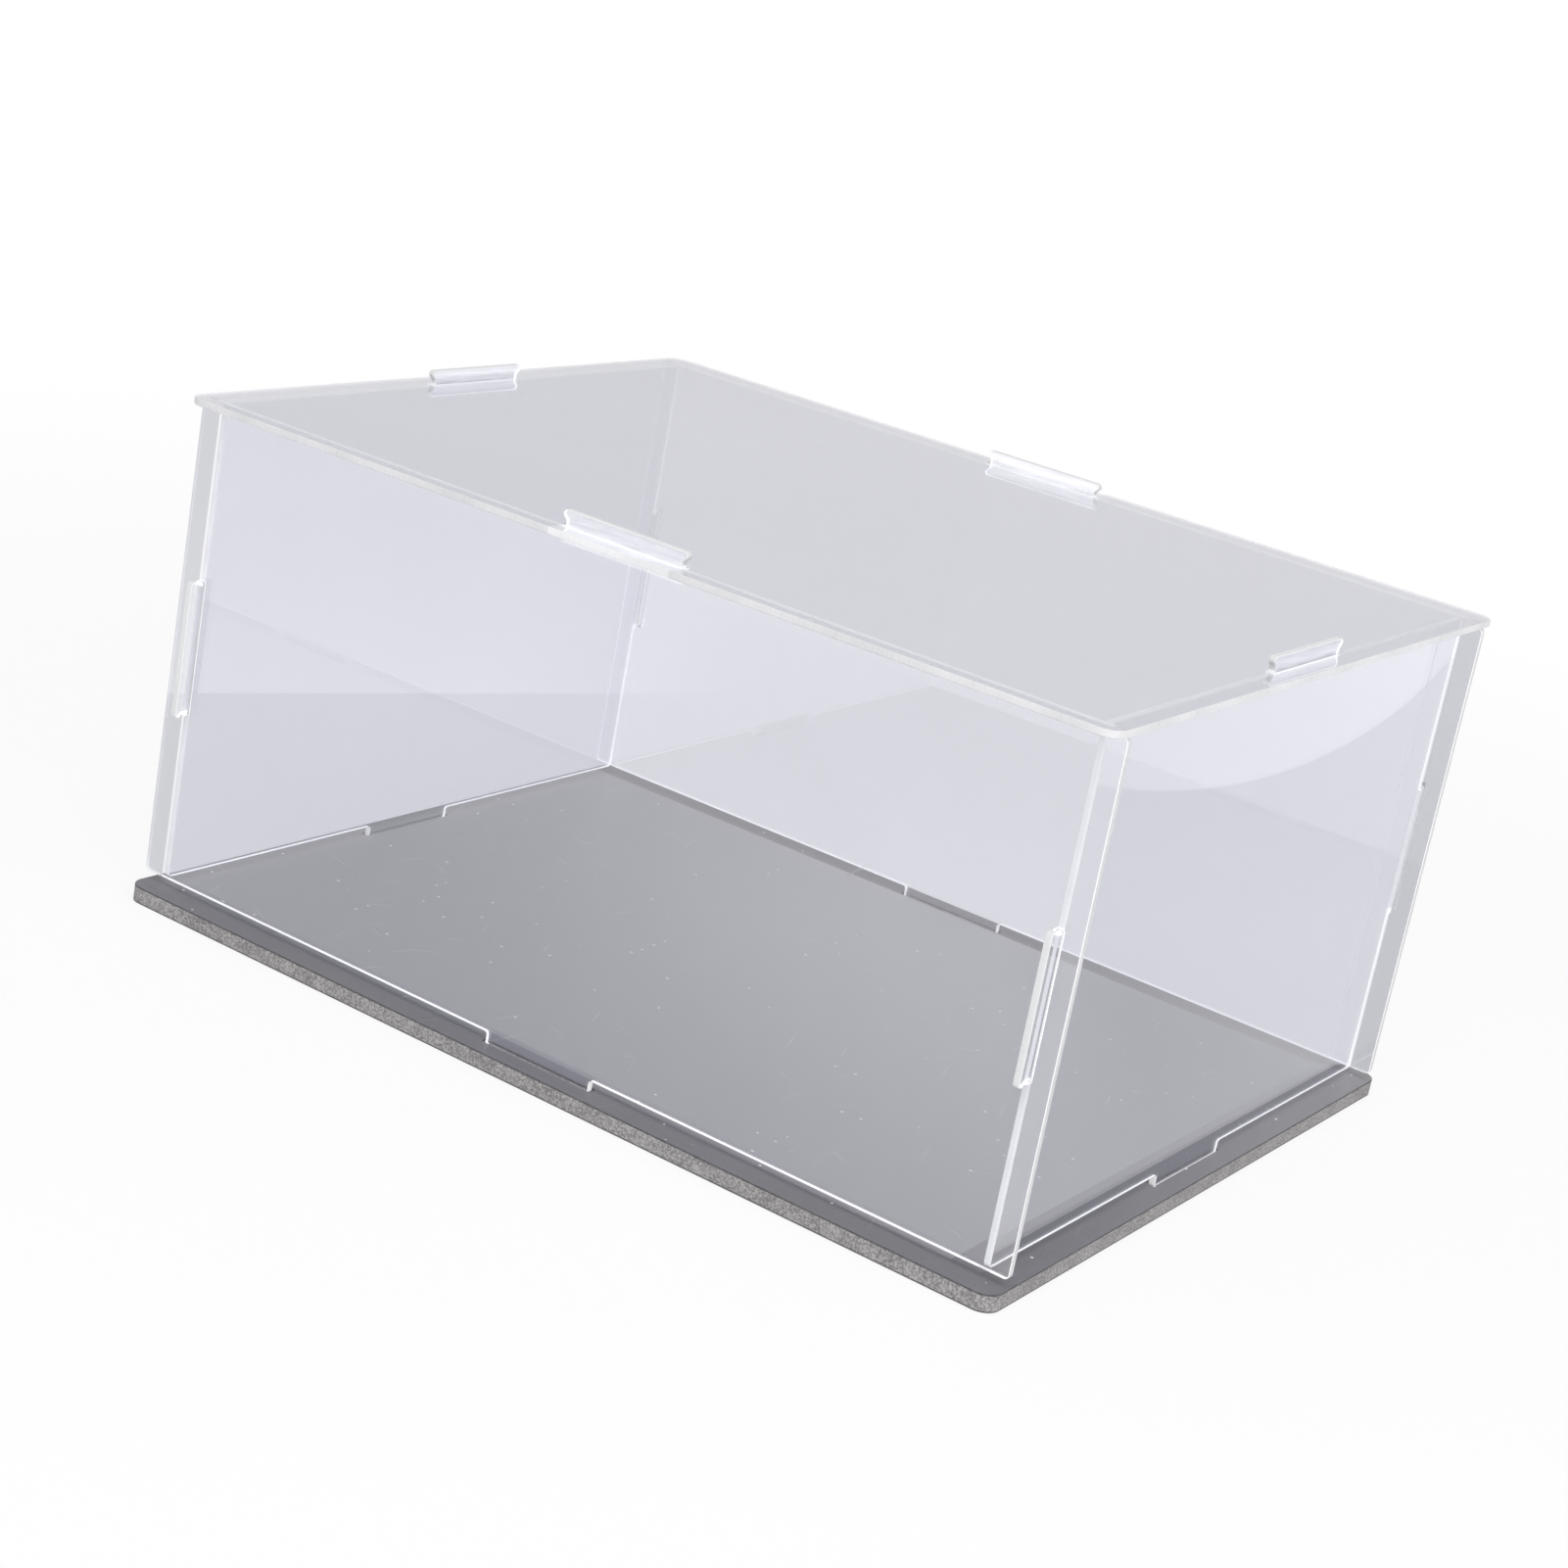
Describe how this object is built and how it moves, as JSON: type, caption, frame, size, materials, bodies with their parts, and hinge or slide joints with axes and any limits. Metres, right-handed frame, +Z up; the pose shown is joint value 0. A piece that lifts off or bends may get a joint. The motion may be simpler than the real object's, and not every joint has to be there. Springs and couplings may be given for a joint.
{
  "type": "display case",
  "caption": "Clear acrylic display case: a lift-off cover of tabbed and slotted sheets on a grey foam board base, to show a model or keepsake free of dust.",
  "frame": {"origin": "centre of the underside of the base board, on the surface it stands on", "axes": "+X along the front to the right, +Y from front to back, +Z up"},
  "size_m": [0.3, 0.225, 0.1543],
  "materials": {
    "grey_foam_board": "satin skinned foam board with a paler grainy core on its cut edge",
    "clear_acrylic": "clear glossy sheet with bright cut edges"
  },
  "bodies": {
    "base": {"base_board": "grey_foam_board"},
    "cover": {"front_panel": "clear_acrylic", "back_panel": "clear_acrylic", "left_panel": "clear_acrylic", "right_panel": "clear_acrylic", "top_panel": "clear_acrylic"}
  },
  "joints": [
    {"name": "cover_lift", "type": "slide", "parent": "base", "child": "cover", "axis": [0, 0, 1], "range_m": [-0.0025, 0.16]}
  ]
}
